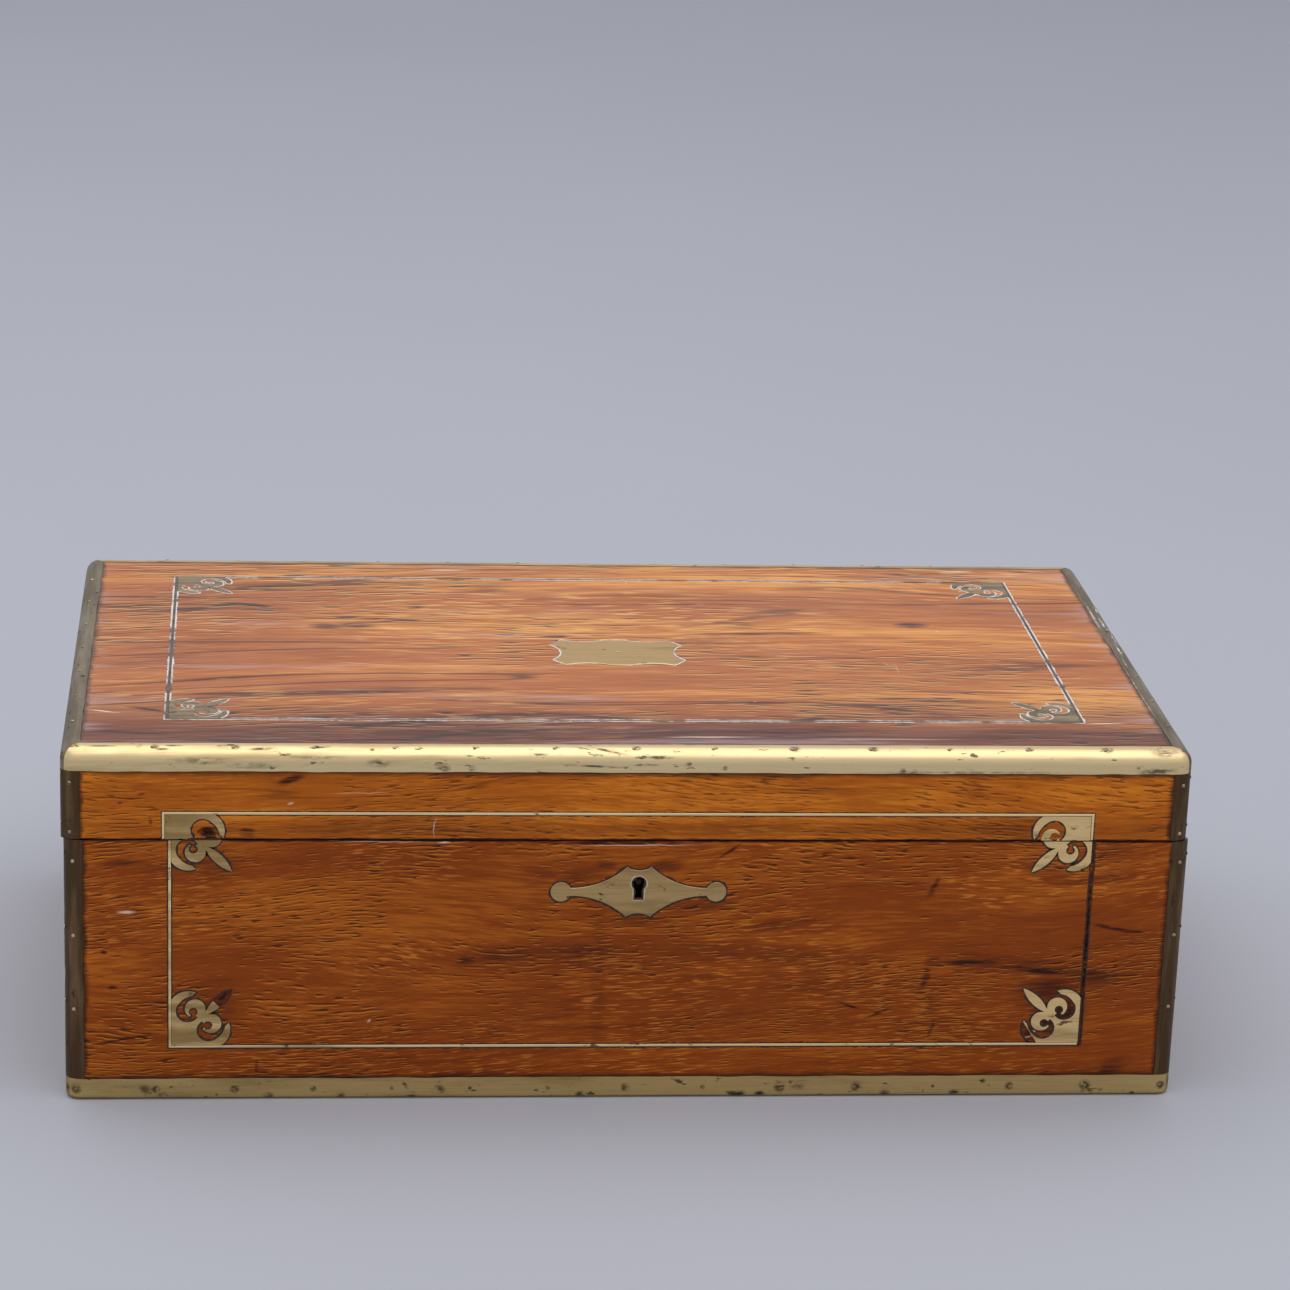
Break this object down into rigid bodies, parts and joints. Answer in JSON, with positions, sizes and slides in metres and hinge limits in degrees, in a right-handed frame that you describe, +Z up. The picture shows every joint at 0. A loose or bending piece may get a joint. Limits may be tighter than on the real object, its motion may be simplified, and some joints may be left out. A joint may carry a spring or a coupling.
{
  "type": "writing slope",
  "caption": "Brass-bound wooden writing box with rounded edges, scroll corner inlays and a lock; the lid folds right back to make a leather-lined writing slope.",
  "frame": {"origin": "centre of the closed box's bottom face", "axes": "+X to the right seen from the lock side, +Y from the lock side to the hinge side, +Z up"},
  "size_m": [0.5012, 0.2898, 0.166],
  "materials": {
    "figured_wood": "waxed figured hardwood, warm orange-brown with dark streaks",
    "inner_wood": "plain polished hardwood",
    "brass": "aged olive-gold brass, rubbed bright on the edges",
    "steel": "worn steel",
    "inkwell_glass": "clear moulded glass",
    "leather": "dark red leather with a tooled gilt border"
  },
  "bodies": {
    "base": {"base_bottom_board": "figured_wood", "base_front_board": "figured_wood", "base_back_board": "figured_wood", "base_left_board": "figured_wood", "base_right_board": "figured_wood", "base_binding_front": "brass", "base_binding_back": "brass", "base_binding_left": "brass", "base_binding_right": "brass", "base_corner_strips": "brass", "base_binding_pins": "brass", "base_front_stringing": "brass", "base_corner_inlays": "brass", "escutcheon": "brass", "lock_case": "brass", "lock_screws": "steel", "base_hinge_leaves": "brass", "hinge_pins": "brass", "base_hinge_screws": "brass", "upper_floor": "inner_wood", "cleats": "inner_wood", "well_divider": "inner_wood", "ink_partitions": "inner_wood", "pen_tray": "inner_wood", "inkwell_left": "inkwell_glass", "inkwell_right": "inkwell_glass", "inkwell_caps": "brass", "base_flap_ledges": "inner_wood", "base_hinge_rail": "inner_wood", "base_flap_hinges": "brass"},
    "lid": {"lid_top_board": "figured_wood", "lid_front_board": "figured_wood", "lid_back_board": "figured_wood", "lid_left_board": "figured_wood", "lid_right_board": "figured_wood", "lid_binding_front": "brass", "lid_binding_back": "brass", "lid_binding_left": "brass", "lid_binding_right": "brass", "lid_corner_strips": "brass", "lid_binding_pins": "brass", "lid_stringing": "brass", "lid_front_inlays": "brass", "lid_top_inlays": "brass", "cartouche": "brass", "lid_hinge_leaves": "brass", "lid_hinge_screws": "brass", "link_plate": "brass", "lid_flap_ledges": "inner_wood", "lid_hinge_rail": "inner_wood", "lid_flap_hinges": "brass"},
    "base_flap": {"base_flap": "figured_wood", "base_flap_leather": "leather", "base_flap_leaves": "brass", "base_flap_tab": "leather"},
    "lid_flap": {"lid_flap": "figured_wood", "lid_flap_leather": "leather", "lid_flap_leaves": "brass", "lid_flap_tab": "leather"},
    "lock_bolt": {"lock_bolt": "steel"}
  },
  "joints": [
    {"name": "lid_hinge", "type": "hinge", "parent": "base", "child": "lid", "pos_m": [0, 0.1438, 0.083], "axis": [-1, 0, 0], "range_deg": [0, 180]},
    {"name": "base_flap_hinge", "type": "hinge", "parent": "base", "child": "base_flap", "pos_m": [0, 0.11446, 0.08477], "axis": [-1, 0, 0], "range_deg": [0, 100]},
    {"name": "lid_flap_hinge", "type": "hinge", "parent": "lid", "child": "lid_flap", "pos_m": [0, 0.11514, 0.08952], "axis": [1, 0, 0], "range_deg": [0, 100]},
    {"name": "lock_slide", "type": "slide", "parent": "base", "child": "lock_bolt", "axis": [1, 0, 0], "range_m": [0, 0.0045]}
  ],
  "couplings": [
    {"joint": "base_flap_hinge", "follows": "lid_hinge", "ratio": 0.33333},
    {"joint": "lid_flap_hinge", "follows": "lid_hinge", "ratio": 0.33333}
  ]
}
